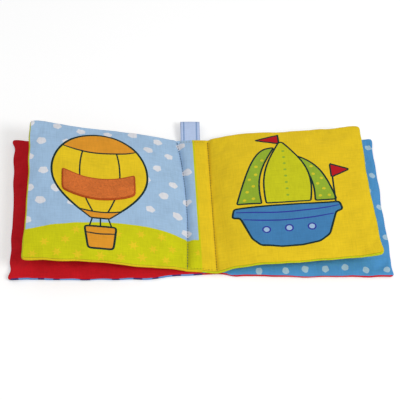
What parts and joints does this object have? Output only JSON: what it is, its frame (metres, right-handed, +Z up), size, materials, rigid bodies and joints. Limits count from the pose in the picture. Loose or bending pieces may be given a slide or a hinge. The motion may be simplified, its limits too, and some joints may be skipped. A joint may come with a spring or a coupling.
{
  "type": "cloth book",
  "caption": "Soft padded fabric book lying open at its middle spread, with hinged covers, a felt patch to feel and a ribbon loop.",
  "frame": {"origin": "middle of the flat underside of the spine, on the surface that the open book lies on", "axes": "+X from the spine to the reader's right, across the open book; +Y from the reader towards the ribbon loop; +Z up"},
  "size_m": [0.337, 0.1778, 0.0347],
  "materials": {
    "cover_fabric_red": "printed woven cotton",
    "cover_fabric_blue": "printed woven cotton",
    "page_fabric_pale_blue": "printed woven cotton",
    "page_fabric_yellow": "printed woven cotton",
    "ribbon": "woven ribbon, semi-matt",
    "felt": "napped felt"
  },
  "bodies": {
    "spine": {"cover_spine": "cover_fabric_blue", "page_gutter": "page_fabric_pale_blue", "ribbon_loop": "ribbon"},
    "front_half": {"front_cover": "cover_fabric_red", "left_page": "page_fabric_pale_blue", "feel_patch": "felt"},
    "back_half": {"back_cover": "cover_fabric_blue", "right_page": "page_fabric_yellow"}
  },
  "joints": [
    {"name": "front_cover_fold", "type": "hinge", "parent": "spine", "child": "front_half", "pos_m": [-0.0135, 0, 0.0057], "axis": [0, 1, 0], "range_deg": [0, 80]},
    {"name": "back_cover_fold", "type": "hinge", "parent": "spine", "child": "back_half", "pos_m": [0.0135, 0, 0.0057], "axis": [0, -1, 0], "range_deg": [0, 80]}
  ]
}
